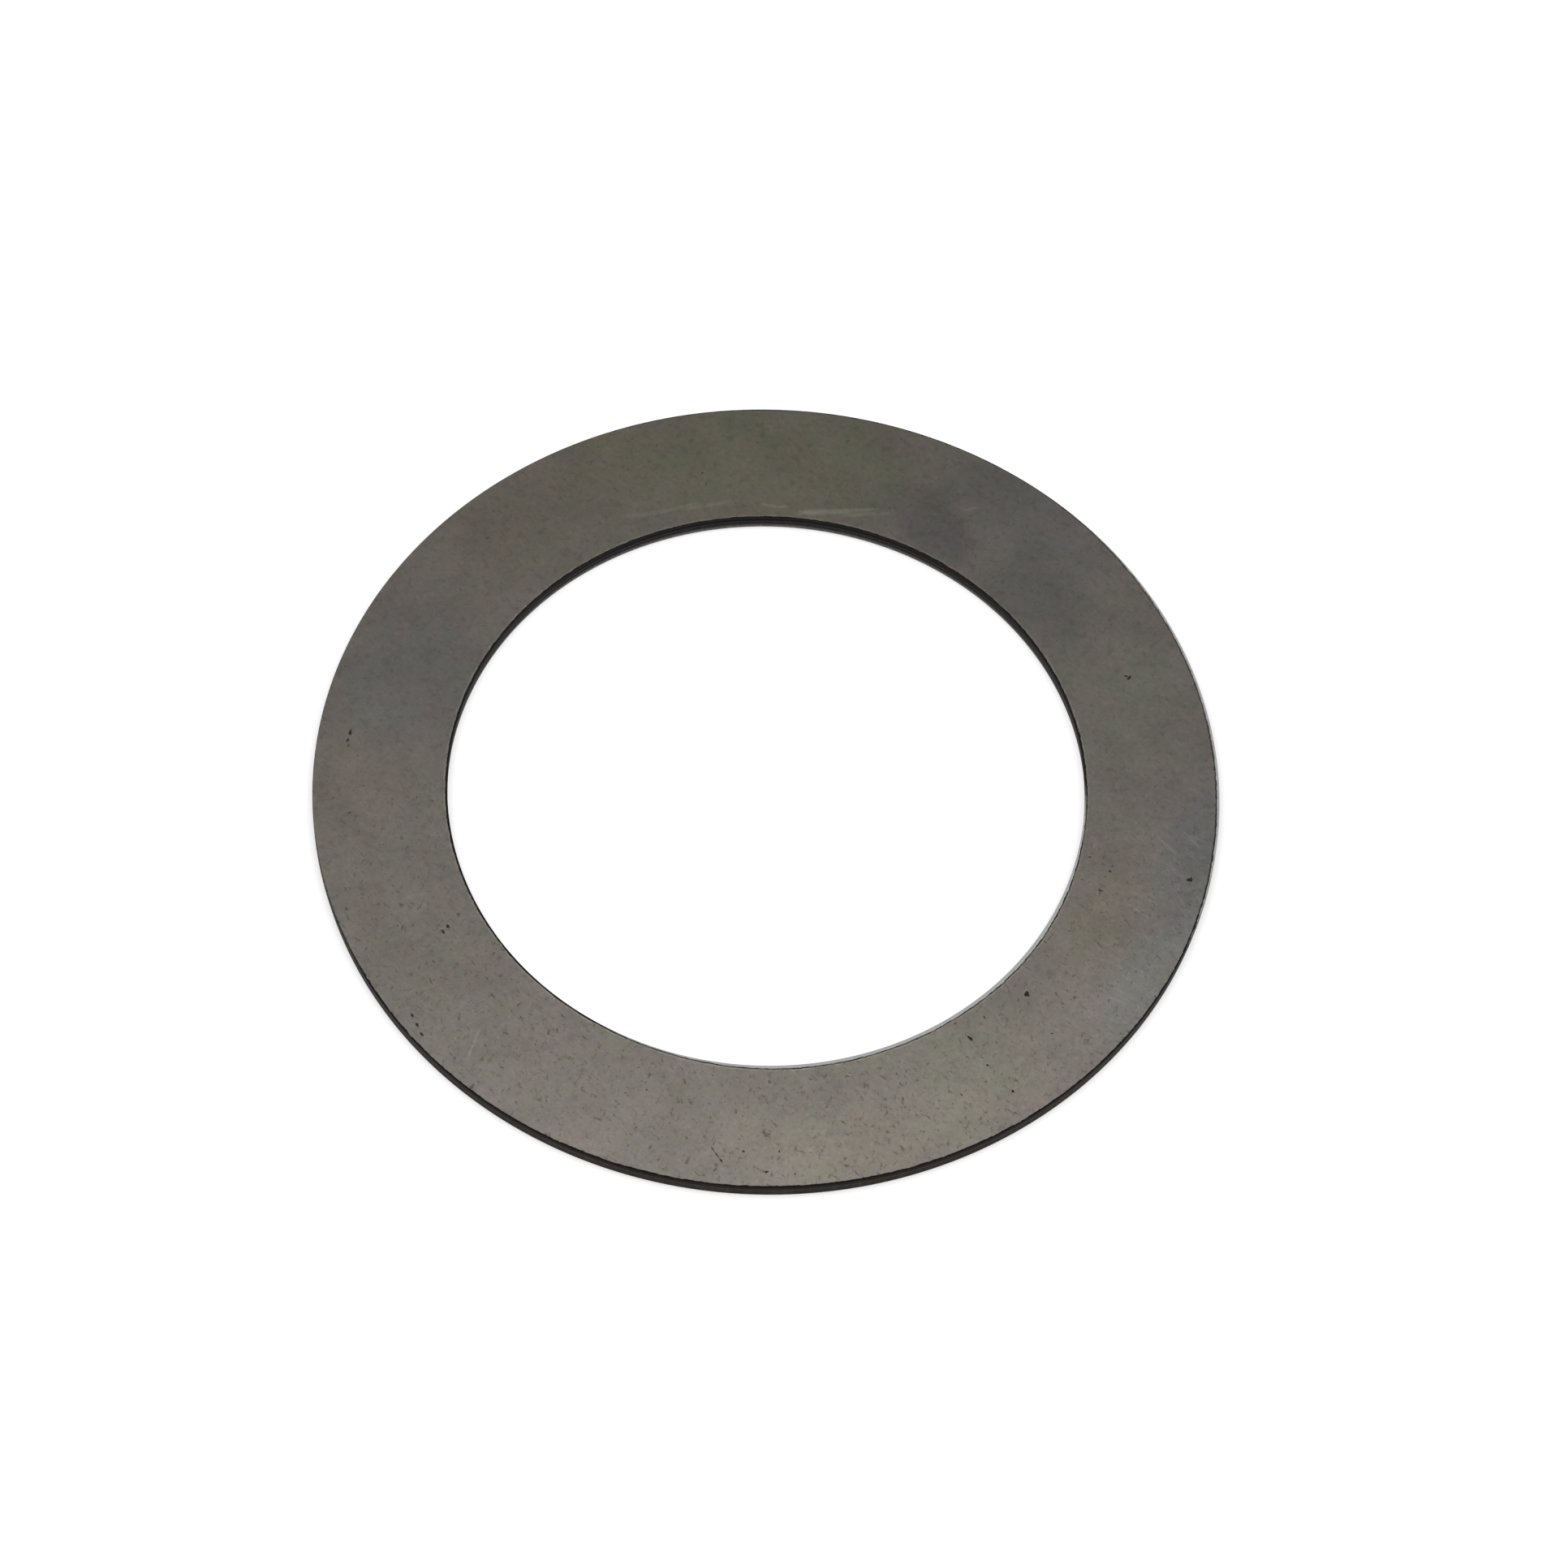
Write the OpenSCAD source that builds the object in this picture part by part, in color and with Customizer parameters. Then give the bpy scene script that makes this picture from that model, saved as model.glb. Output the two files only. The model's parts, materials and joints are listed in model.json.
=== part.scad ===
// Adjusting washer: a flat steel shim ring that takes up end play on a shaft.
// It is blanked from strip in one stroke, so both of its walls have the same true section. From the upper
// face down they show a rolled edge, a smooth sheared land, a torn slope that draws back from the land,
// and a lower edge that tumbling has rounded.
// The origin is on the ring's axis, in the plane of the lower face. +Z points to the upper face.

/* [Ring] */
// Diameter of the shaft that the bore slides over
shaft_d = 28; // [20:0.5:32]
// Play of the bore on the shaft, across the diameter
bore_play = 0.07; // [0.02:0.01:0.3]
// Diameter of the housing that the rim drops into
housing_d = 40; // [36:0.5:60]
// Play of the rim in the housing, across the diameter
rim_play = 0.08; // [0.02:0.01:0.35]
// Thickness of the ring, which sets the gap that it fills
thickness = 0.8; // [0.7:0.05:2.5]

/* [Rolled upper edges] */
// How far in over the upper face a rolled edge begins
roll_w = 0.2; // [0.16:0.01:0.4]
// How far a rolled edge has dropped where it meets the wall
roll_h = 0.1; // [0.02:0.01:0.15]

/* [Cut walls] */
// Height of the smooth sheared land below a rolled edge
land_h = 0.3; // [0.1:0.02:0.4]
// How far the torn slope draws back from the land by the lower face
tear_back = 0.05; // [0.01:0.01:0.15]
// Radius that tumbling has given the lower edges
tumble_r = 0.06; // [0.02:0.01:0.1]

/* [Hidden] */

steel = [0.40, 0.38, 0.35];
round_steps = 360;
arc_steps = 64;

bore_r = (shaft_d + bore_play) / 2;
rim_r = (housing_d - rim_play) / 2;
land_foot = thickness - roll_h - land_h;

// The roll is an arc that leaves the face without a crease and meets the wall at an angle.
roll_r = (roll_w * roll_w + roll_h * roll_h) / (2 * roll_h);

// The torn slope leans out by this angle, so the lower corner is wider than square.
tear_lean = atan(tear_back / land_foot);
// How far the tumbled corner reaches along the lower face, and up the slope.
tumble_run = tumble_r / tan(45 + tear_lean / 2);

// What the roll takes off an upper corner at the origin, with the metal below it and to its left.
module roll_relief() {
    difference() {
        translate([-roll_w, -roll_h]) square(2 * [roll_w, roll_h]);
        translate([-roll_w, -roll_r]) circle(roll_r, $fn = 4 * arc_steps);
    }
}

// What tumbling takes off a lower corner at the origin, with the metal above it and to its left.
module tumble_relief() {
    up_slope = [sin(tear_lean), cos(tear_lean)];
    off_slope = [cos(tear_lean), -sin(tear_lean)];
    difference() {
        polygon([
            [-tumble_run, tumble_r],
            [-tumble_run, -tumble_r],
            [tumble_r, -tumble_r],
            up_slope * tumble_run + off_slope * tumble_r,
            up_slope * tumble_run,
        ]);
        translate([-tumble_run, tumble_r]) circle(tumble_r, $fn = arc_steps);
    }
}

// What comes off the two corners of a cut wall at wall_r, with the metal to its left.
module wall_relief(wall_r) {
    translate([wall_r, thickness]) roll_relief();
    translate([wall_r - tear_back, 0]) tumble_relief();
}

// Half section of the ring, with the radius along X and the height along Y.
module section() {
    difference() {
        polygon([
            [bore_r, thickness],
            [rim_r, thickness],
            [rim_r, land_foot],
            [rim_r - tear_back, 0],
            [bore_r + tear_back, 0],
            [bore_r, land_foot],
        ]);
        wall_relief(rim_r);
        mirror([1, 0]) wall_relief(-bore_r);
    }
}

module adjusting_washer() {
    color(steel) rotate_extrude($fn = round_steps) section();
}

adjusting_washer();
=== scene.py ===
import json
import math

import bmesh
import bpy
import numpy as np
from mathutils import Matrix, Quaternion, Vector


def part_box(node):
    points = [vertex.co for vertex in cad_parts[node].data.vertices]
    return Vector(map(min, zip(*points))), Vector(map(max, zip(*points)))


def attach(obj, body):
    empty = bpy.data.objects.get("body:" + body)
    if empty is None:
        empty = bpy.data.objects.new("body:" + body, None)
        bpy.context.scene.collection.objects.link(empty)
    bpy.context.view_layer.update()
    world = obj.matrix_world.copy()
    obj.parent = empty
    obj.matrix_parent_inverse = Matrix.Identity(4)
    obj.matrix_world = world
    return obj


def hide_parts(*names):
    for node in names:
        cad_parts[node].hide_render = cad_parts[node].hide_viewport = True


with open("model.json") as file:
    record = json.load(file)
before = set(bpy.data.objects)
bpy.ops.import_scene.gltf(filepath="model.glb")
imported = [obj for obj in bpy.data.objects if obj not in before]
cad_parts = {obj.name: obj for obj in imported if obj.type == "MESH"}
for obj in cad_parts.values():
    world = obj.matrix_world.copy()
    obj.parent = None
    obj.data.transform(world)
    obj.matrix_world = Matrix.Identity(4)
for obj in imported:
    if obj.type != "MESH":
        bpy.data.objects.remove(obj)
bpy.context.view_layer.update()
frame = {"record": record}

MM = 0.001

# Sizes of the ring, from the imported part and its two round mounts
_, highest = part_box("adjusting_washer")
THICKNESS = highest.z
mounts = {mount["name"]: mount for mount in frame["record"]["mounts"]}
BORE_R = mounts["bore"]["dims"]["r_mm"] * MM
RIM_R = mounts["rim"]["dims"]["r_mm"] * MM
MID_R = (BORE_R + RIM_R) / 2

# Form of the cut walls, the same at the bore and at the rim
ROLL_W = 0.20 * MM
ROLL_H = 0.10 * MM
LAND_H = 0.30 * MM
TEAR_BACK = 0.05 * MM
TUMBLE_R = 0.06 * MM
LAND_FOOT = THICKNESS - ROLL_H - LAND_H

# The punch sat a little off centre, so each rolled edge is widest on one side and narrow on the other.
# Each line gives the angle of the widest place, how far that reaches to each side, the narrow and the
# wide share of ROLL_W, and how far the painted highlight on the roll reaches and then fades.
RIM_ROLL = {"at": 14, "reach": 28, "narrow": 0.2, "wide": 0.75, "highlit": 29, "fade": 9}
BORE_ROLL = {"at": 302, "reach": 42, "narrow": 0.42, "wide": 1.1, "highlit": 50, "fade": 12}
# The side of the rim where the painted shade on the roll is pale and the painted dark crease line is left
# out
PALE_SHADE_RIM = {"at": 158, "reach": 24, "fade": 34}

# How finely the ring is divided
ROUND_STEPS = 720
HALVINGS = 3
FACE_ROWS = 12
ROLL_STEPS = 6
LAND_ROWS = 3
TEAR_ROWS = 5
TUMBLE_STEPS = 3
UNDER_ROWS = 4
PIT_CUTS = 7
TINY = 0.001 * MM

# How far in from the land the walls' own finish reaches
WALL_DEPTH = 2.5 * TEAR_BACK
# How much a face may tilt and still count as flat, or as part of a land
TILT_SLACK = 0.0001
# What the lower face notes instead of its way from a crease, because it has none
NO_CREASE = -1

# Pits and dents in the upper face, in mm and degrees: x, y, length, width, turn, depth, and how much
# grime they hold
PITS = [
    (15.80, 6.36, 0.24, 0.14, -25, 0.004, 0.9),
    (15.91, 6.25, 0.32, 0.14, 60, 0.006, 0.9),
    (18.66, -4.02, 0.30, 0.22, -30, 0.006, 0.9),
    (11.63, -10.07, 0.34, 0.19, -35, 0.006, 1.0),
    (9.17, -12.31, 0.42, 0.12, -42, 0.006, 1.0),
    (9.79, -11.28, 0.20, 0.08, -60, 0.004, 0.8),
    (-13.81, -8.02, 0.38, 0.13, -50, 0.004, 0.8),
    (-13.56, -7.80, 0.34, 0.12, -50, 0.004, 0.8),
    (-18.46, 1.92, 0.34, 0.19, 80, 0.006, 0.9),
    (-18.52, 1.52, 0.20, 0.13, 60, 0.004, 0.8),
    (-18.49, 1.24, 0.22, 0.12, 80, 0.004, 0.7),
    (-14.86, -12.23, 0.40, 0.13, -55, 0.004, 0.8),
    (-14.62, -12.70, 0.32, 0.12, -55, 0.004, 0.8),
    (-14.39, -13.17, 0.24, 0.12, -50, 0.004, 0.9),
    (-1.30, -18.74, 0.24, 0.09, -55, 0.004, 1.0),
    (-1.50, -18.46, 1.00, 0.06, -55, 0.004, 0.9),
    (4.01, -14.41, 0.36, 0.09, 0, 0.004, 0.6),
    (9.96, -13.63, 0.16, 0.11, -20, 0.004, 0.8),
    (8.87, -15.11, 0.18, 0.11, -60, 0.004, 0.7),
    (-18.24, -2.21, 0.24, 0.08, 30, 0.004, 0.7),
    (-14.64, -1.43, 0.18, 0.10, -60, 0.004, 0.7),
    (15.14, -3.72, 0.20, 0.11, -40, 0.004, 0.9),
    (14.28, -3.06, 0.20, 0.10, 20, 0.004, 0.9),
    (14.76, -4.73, 0.18, 0.09, -20, 0.004, 0.8),
    (-3.45, 16.36, 0.14, 0.12, 0, 0.004, 0.7),
    (13.43, 4.69, 0.16, 0.10, -40, 0.003, 0.7),
    (-15.76, -7.82, 0.22, 0.12, -20, 0.003, 0.5),
    (-4.60, -15.45, 0.16, 0.10, 20, 0.003, 0.7),
    (-0.36, -18.26, 0.20, 0.13, -30, 0.003, 0.7),
    (1.16, -18.20, 0.20, 0.12, -60, 0.003, 0.7),
    (0.69, -19.18, 0.18, 0.12, 20, 0.003, 0.6),
    (1.86, -19.24, 0.18, 0.11, -20, 0.003, 0.6),
    (2.51, -18.18, 0.18, 0.08, 0, 0.003, 0.5),
    (11.10, -14.86, 0.16, 0.09, -70, 0.003, 0.6),
    (12.74, -11.96, 0.16, 0.08, -30, 0.003, 0.6),
    (-17.98, -1.20, 0.16, 0.09, 40, 0.003, 0.6),
    (-17.68, -0.81, 0.14, 0.08, 10, 0.003, 0.6),
    (-18.44, -2.34, 0.14, 0.08, 60, 0.003, 0.6),
    (-15.33, -1.29, 0.14, 0.08, -50, 0.003, 0.6),
    (-16.91, 1.23, 0.14, 0.08, 30, 0.003, 0.6),
]


# The ring


def arc(bm, start, centre, turn, steps):
    """A round stretch of a section, spun from one point at start about a centre."""
    point = bm.verts.new(start)
    bmesh.ops.spin(bm, geom=[point], cent=centre, axis=(0, 1, 0), angle=turn, steps=steps)


def straight(bm, start, end, rows):
    """A straight stretch of a section, in equal rows."""
    edge = bm.edges.new([bm.verts.new(start), bm.verts.new(end)])
    if rows > 1:
        bmesh.ops.subdivide_edges(bm, edges=[edge], cuts=rows - 1)


def spin_round(bm, steps, halvings=0):
    """Spins a section about Z. Halvings spin part of the turn and then double it, which is quicker."""
    turn = 2 * math.pi / 2**halvings
    bmesh.ops.spin(
        bm, geom=bm.verts[:] + bm.edges[:], cent=(0, 0, 0), axis=(0, 0, 1),
        angle=turn, steps=steps // 2**halvings, use_merge=halvings == 0,
    )
    for _ in range(halvings):
        doubled = bmesh.ops.duplicate(bm, geom=bm.verts[:] + bm.edges[:] + bm.faces[:])["geom"]
        copies = [item for item in doubled if isinstance(item, bmesh.types.BMVert)]
        bmesh.ops.rotate(bm, verts=copies, cent=(0, 0, 0), matrix=Matrix.Rotation(turn, 3, "Z"))
        turn *= 2
    bmesh.ops.remove_doubles(bm, verts=bm.verts, dist=TINY)
    bmesh.ops.recalc_face_normals(bm, faces=bm.faces)
    for face in bm.faces:
        face.smooth = True


def outer_half_section(bm):
    """The half of the ring's section next to the rim, from the upper face down to the lower face."""
    roll_r = (ROLL_W**2 + ROLL_H**2) / (2 * ROLL_H)
    roll_turn = math.asin(ROLL_W / roll_r)
    lean = math.atan2(TEAR_BACK, LAND_FOOT)
    run = TUMBLE_R / math.tan(math.pi / 4 + lean / 2)
    foot_r = RIM_R - TEAR_BACK

    roll_start = (RIM_R - ROLL_W, 0, THICKNESS)
    roll_end = (RIM_R, 0, THICKNESS - ROLL_H)
    land_end = (RIM_R, 0, LAND_FOOT)
    tear_end = (foot_r + run * math.sin(lean), 0, run * math.cos(lean))
    under_start = (foot_r - run, 0, 0)

    straight(bm, (MID_R, 0, THICKNESS), roll_start, FACE_ROWS)
    arc(bm, roll_start, (RIM_R - ROLL_W, 0, THICKNESS - roll_r), roll_turn, ROLL_STEPS)
    straight(bm, roll_end, land_end, LAND_ROWS)
    straight(bm, land_end, tear_end, TEAR_ROWS)
    arc(bm, under_start, (foot_r - run, 0, TUMBLE_R), -(math.pi / 2 - lean), TUMBLE_STEPS)
    straight(bm, under_start, (MID_R, 0, 0), UNDER_ROWS)


def divide_round_pits(bm):
    """Divides the face finely wherever a pit is pressed into it."""
    row = (RIM_R - BORE_R - 2 * ROLL_W) / (2 * FACE_ROWS)
    upper = [face for face in bm.faces if face.calc_center_median().z > THICKNESS - TINY]
    places = np.array([face.calc_center_median()[:2] for face in upper])
    chosen = set()
    for x, y, length, width, *_ in PITS:
        near = np.hypot(places[:, 0] - x * MM, places[:, 1] - y * MM) < (length / 2) * MM + row
        for index in np.nonzero(near)[0]:
            chosen.update(upper[index].edges)
    bmesh.ops.subdivide_edges(bm, edges=list(chosen), cuts=PIT_CUTS, use_grid_fill=True)


def roll_share(angles, side):
    """How wide a rolled edge is at each angle, as a share of ROLL_W."""
    away = np.abs((angles - math.radians(side["at"]) + math.pi) % (2 * math.pi) - math.pi)
    near = np.clip(1.5 - away / math.radians(side["reach"]), 0, 1)
    smooth = near * near * (3 - 2 * near)
    return side["narrow"] + (side["wide"] - side["narrow"]) * smooth


def vary_rolls(spots, upper):
    """Moves the rolled edges to their uneven widths. Returns the way from the crease where a roll
    starts, in mm: below 0 on the face, then down the roll and the wall."""
    radius = np.hypot(spots[:, 0], spots[:, 1])
    angle = np.arctan2(spots[:, 1], spots[:, 0])
    height = spots[:, 2].copy()
    outer = radius > MID_R
    share = np.where(outer, roll_share(angle, RIM_ROLL), roll_share(angle, BORE_ROLL))
    inward = np.where(outer, RIM_R - radius, radius - BORE_R)
    rolled = ~upper & (height > THICKNESS - ROLL_H - TINY)
    land = ~upper & ~rolled & (height > LAND_FOOT + TINY)

    # Across the face, the first row next to a roll takes up what the roll leaves.
    row = (MID_R - BORE_R - ROLL_W) / FACE_ROWS
    first_row = ROLL_W + row
    close = upper & (inward < first_row + TINY)
    stretched = first_row - (first_row - inward) * (first_row - ROLL_W * share) / row
    new_inward = np.where(close, stretched, inward)
    new_inward = np.where(rolled, inward * share, new_inward)

    # A narrow roll drops less, and the land below it is taller by as much.
    drop = share / (share + 0.5)
    land_top = THICKNESS - ROLL_H * drop
    taller = (land_top - LAND_FOOT) / LAND_H
    new_height = np.where(rolled, THICKNESS - (THICKNESS - height) * drop, height)
    new_height = np.where(land, LAND_FOOT + (height - LAND_FOOT) * taller, new_height)

    new_radius = np.where(outer, RIM_R - new_inward, BORE_R + new_inward)
    spots[:, :2] *= (new_radius / radius)[:, None]
    spots[:, 2] = new_height
    crease = np.where(upper | rolled, ROLL_W * share - new_inward, ROLL_W * share + land_top - new_height)
    return np.where(height < TINY, NO_CREASE, crease / MM)


def press_pits(spots, upper):
    """Presses the pits into the upper face. Returns how much grime they hold."""
    grime = np.zeros(len(spots))
    for x, y, length, width, turn, depth, dark in PITS:
        away = spots[:, :2] / MM - (x, y)
        along = away @ (math.cos(math.radians(turn)), math.sin(math.radians(turn)))
        across = away @ (-math.sin(math.radians(turn)), math.cos(math.radians(turn)))
        # The outline is an ellipse, narrower at one end and a little uneven.
        uneven = 1 + 0.16 * np.sin(along * 17 + x) + 0.12 * np.sin(across * 29 + 3 * y)
        taper = 1 - 0.5 * along / length
        reach = np.hypot(along / (length / 2), across / (width / 2 * taper)) * uneven
        hollow = np.clip(1.1 - reach, 0, 1) * upper
        spots[:, 2] -= depth * MM * hollow * hollow * (3 - 2 * hollow)
        grime = np.maximum(grime, (0.4 + 0.6 * dark) * np.clip(2 - reach, 0, 2) * upper)
    return grime


def shape_surface(mesh):
    """Gives the spun ring its uneven rolled edges and its pits, and notes both for the finishes."""
    spots = np.empty(3 * len(mesh.vertices))
    mesh.vertices.foreach_get("co", spots)
    spots = spots.reshape(-1, 3)
    upper = spots[:, 2] > THICKNESS - TINY
    notes = {"crease": vary_rolls(spots, upper), "grime": press_pits(spots, upper)}
    mesh.vertices.foreach_set("co", spots.ravel())
    for name, values in notes.items():
        mesh.attributes.new(name, "FLOAT", "POINT").data.foreach_set("value", values)
    mesh.update()


def adjusting_washer():
    """The whole ring, spun from its section, in one piece."""
    bm = bmesh.new()
    outer_half_section(bm)
    bmesh.ops.remove_doubles(bm, verts=bm.verts, dist=TINY)
    middle = Matrix.Translation((-MID_R, 0, 0))
    bmesh.ops.mirror(bm, geom=bm.verts[:] + bm.edges[:], matrix=middle, merge_dist=TINY, axis="X")
    bmesh.ops.remove_doubles(bm, verts=bm.verts, dist=TINY)
    spin_round(bm, ROUND_STEPS, HALVINGS)

    # The walls and their tumbled lower edges have the second finish, and the rest has the first.
    for face in bm.faces:
        place = face.calc_center_median()
        by_wall = min(RIM_R - place.xy.length, place.xy.length - BORE_R) < WALL_DEPTH
        face.material_index = int(by_wall and place.z < THICKNESS - ROLL_H)
    divide_round_pits(bm)

    # Shading is smooth except where a flat face or a land ends.
    for edge in bm.edges:
        tilts = sorted(abs(face.normal.z) for face in edge.link_faces)
        leaves_flat = tilts[0] < 1 - TILT_SLACK < tilts[1]
        leaves_land = tilts[0] < TILT_SLACK < tilts[1]
        edge.smooth = not (leaves_flat or leaves_land)
    mesh = bpy.data.meshes.new("adjusting_washer_ring")
    bm.to_mesh(mesh)
    bm.free()
    shape_surface(mesh)
    mesh.materials.append(tumbled_face())
    mesh.materials.append(cut_wall())
    ring = bpy.data.objects.new("adjusting_washer_ring", mesh)
    bpy.context.scene.collection.objects.link(ring)
    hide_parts("adjusting_washer")
    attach(ring, "root")


# Helpers for shader nodes


def node(tree, kind, feeds=None, **settings):
    """A shader node with its settings. What feeds its sockets are other sockets or plain values."""
    made = tree.nodes.new("ShaderNode" + kind)
    for name, value in settings.items():
        setattr(made, name, value)
    for key, value in (feeds or {}).items():
        if isinstance(value, bpy.types.NodeSocket):
            tree.links.new(value, made.inputs[key])
        else:
            made.inputs[key].default_value = value
    return made


def calc(tree, operation, *values):
    """The result of one sum on numbers."""
    return node(tree, "Math", dict(enumerate(values)), operation=operation).outputs[0]


def move(tree, operation, *values):
    """The result of one sum on vectors."""
    made = node(tree, "VectorMath", dict(enumerate(values)), operation=operation)
    return made.outputs["Value" if operation in ("LENGTH", "DOT_PRODUCT") else "Vector"]


def scaled(tree, vector, by):
    """A vector times a number."""
    return node(tree, "VectorMath", {0: vector, "Scale": by}, operation="SCALE").outputs[0]


def flattened(tree, place):
    """A place without its height."""
    return move(tree, "MULTIPLY", place, (1, 1, 0))


def turned(tree, place, angle):
    """A place as a pattern sees it that stands at an angle, in radians."""
    feeds = {"Vector": place, "Angle": angle}
    return node(tree, "VectorRotate", feeds, rotation_type="Z_AXIS", invert=True).outputs[0]


def noise(tree, place, scale, detail, roughness=0.5, distortion=0):
    """An uneven pattern round 0.5, with about as many humps to the mm as its scale says."""
    feeds = {
        "Vector": place, "Scale": scale, "Detail": detail,
        "Roughness": roughness, "Distortion": distortion,
    }
    return node(tree, "TexNoise", feeds).outputs["Fac"]


def rise(tree, value, low, high):
    """0 below low and 1 above high, with a smooth rise between. It falls where low is above high."""
    feeds = {"Value": value, "From Min": low, "From Max": high}
    return node(tree, "MapRange", feeds, interpolation_type="SMOOTHSTEP").outputs[0]


def sway(tree, value, pattern, strength):
    """Moves a value up and down with a pattern."""
    return calc(tree, "MULTIPLY_ADD", calc(tree, "SUBTRACT", pattern, 0.5), strength, value)


def between(tree, mask, low, high):
    """A number that goes from low to high where the mask goes from 0 to 1."""
    return calc(tree, "MULTIPLY_ADD", mask, high - low, low)


def rest_of(tree, mask):
    """The mask of everything outside a mask."""
    return calc(tree, "SUBTRACT", 1, mask)


def tint(tree, colour, by, mask):
    """Multiplies a colour by another one where the mask is."""
    feeds = {"Factor": mask, 6: colour, 7: by}
    return node(tree, "Mix", feeds, data_type="RGBA", blend_type="MULTIPLY").outputs[2]


def blend(tree, colour, other, mask):
    """Goes over to another colour where the mask is."""
    return node(tree, "Mix", {"Factor": mask, 6: colour, 7: other}, data_type="RGBA").outputs[2]


def new_group(name, inputs, outputs):
    """An empty node group with its sockets, each given as a name and a kind of socket."""
    tree = bpy.data.node_groups.new(name, "ShaderNodeTree")
    for side, sockets in (("INPUT", inputs), ("OUTPUT", outputs)):
        for label, kind in sockets:
            tree.interface.new_socket(name=label, in_out=side, socket_type="NodeSocket" + kind)
    return tree, tree.nodes.new("NodeGroupInput").outputs, tree.nodes.new("NodeGroupOutput").inputs


def use(tree, name, **feeds):
    """The result of a node group. What feeds its sockets is given by their names in lower case."""
    feeds = {label.capitalize(): value for label, value in feeds.items()}
    return node(tree, "Group", feeds, node_tree=bpy.data.node_groups[name]).outputs[0]


def new_finish(name):
    """A material with its shader, and the place on the ring in mm."""
    material = bpy.data.materials.new(name)
    material.use_nodes = True
    tree = material.node_tree
    place = scaled(tree, node(tree, "TexCoord").outputs["Object"], 1 / MM)
    return material, tree, tree.nodes["Principled BSDF"], place


def add_relief(tree, shader, relief):
    """Small unevenness of a finish, as a height in mm."""
    bump = node(tree, "Bump", {"Strength": 1, "Distance": MM, "Height": relief})
    tree.links.new(bump.outputs[0], shader.inputs["Normal"])


# Effects that the finishes are made of


def soft_patch_group():
    """A patch with a soft edge round a centre on the face, made uneven by what comes in as ragged."""
    sockets = [
        ("Place", "Vector"), ("Centre", "Vector"), ("Reach", "Vector"),
        ("Turn", "Float"), ("Ragged", "Float"),
    ]
    tree, given, result = new_group("soft_patch", sockets, [("Mask", "Float")])
    away = turned(tree, move(tree, "SUBTRACT", given["Place"], given["Centre"]), given["Turn"])
    distance = move(tree, "LENGTH", move(tree, "DIVIDE", flattened(tree, away), given["Reach"]))
    uneven = calc(tree, "ADD", distance, given["Ragged"])
    tree.links.new(rise(tree, uneven, 1.15, 0.35), result["Mask"])


def short_marks_group():
    """Short strokes over the surface, one in each cell, leaning one way with some spread."""
    sockets = [
        ("Place", "Vector"), ("Cell", "Float"), ("Length", "Float"), ("Width", "Float"),
        ("Lean", "Float"), ("Spread", "Float"), ("Share", "Float"), ("Bow", "Float"),
    ]
    tree, given, result = new_group("short_marks", sockets, [("Mask", "Float")])
    cells = scaled(tree, flattened(tree, given["Place"]), calc(tree, "DIVIDE", 1, given["Cell"]))
    nearest = node(tree, "TexVoronoi", {"Vector": cells, "Scale": 1}, voronoi_dimensions="2D")
    chances = node(tree, "SeparateColor", {0: nearest.outputs["Color"]})
    swing_chance, stroke_chance, size_chance = chances.outputs

    # Each stroke's own lean and length
    away = scaled(tree, move(tree, "SUBTRACT", cells, nearest.outputs["Position"]), given["Cell"])
    swing = between(tree, swing_chance, -1, 1)
    lean = calc(tree, "MULTIPLY_ADD", swing, given["Spread"], given["Lean"])
    along, across, _ = node(tree, "SeparateXYZ", {0: turned(tree, away, lean)}).outputs
    bowed = calc(tree, "MULTIPLY_ADD", calc(tree, "MULTIPLY", along, along), given["Bow"], across)
    size = between(tree, size_chance, 0.3, 1)
    half_length = calc(tree, "MULTIPLY", calc(tree, "MULTIPLY", given["Length"], size), 0.5)
    half_width = calc(tree, "MULTIPLY", given["Width"], 0.5)

    # The stroke is an ellipse with a soft edge.
    long_part = calc(tree, "DIVIDE", along, half_length)
    wide_part = calc(tree, "DIVIDE", bowed, half_width)
    long_square = calc(tree, "MULTIPLY", long_part, long_part)
    wide_square = calc(tree, "MULTIPLY", wide_part, wide_part)
    stroke = rise(tree, calc(tree, "ADD", long_square, wide_square), 1.3, 0.1)
    present = calc(tree, "LESS_THAN", stroke_chance, given["Share"])
    strength = between(tree, calc(tree, "FRACT", calc(tree, "MULTIPLY", stroke_chance, 17)), 0.4, 1)
    mask = calc(tree, "MULTIPLY", calc(tree, "MULTIPLY", stroke, present), strength)
    tree.links.new(mask, result["Mask"])


def rubbed_grain_group():
    """Uneven grain drawn out one way, as tumbling media leave it."""
    sockets = [("Place", "Vector"), ("Turn", "Float"), ("Drawn", "Vector")]
    tree, given, result = new_group("rubbed_grain", sockets, [("Value", "Float")])
    drawn = move(tree, "MULTIPLY", turned(tree, given["Place"], given["Turn"]), given["Drawn"])
    tree.links.new(noise(tree, drawn, 1, 3, 0.55, 0.5), result["Value"])


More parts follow.
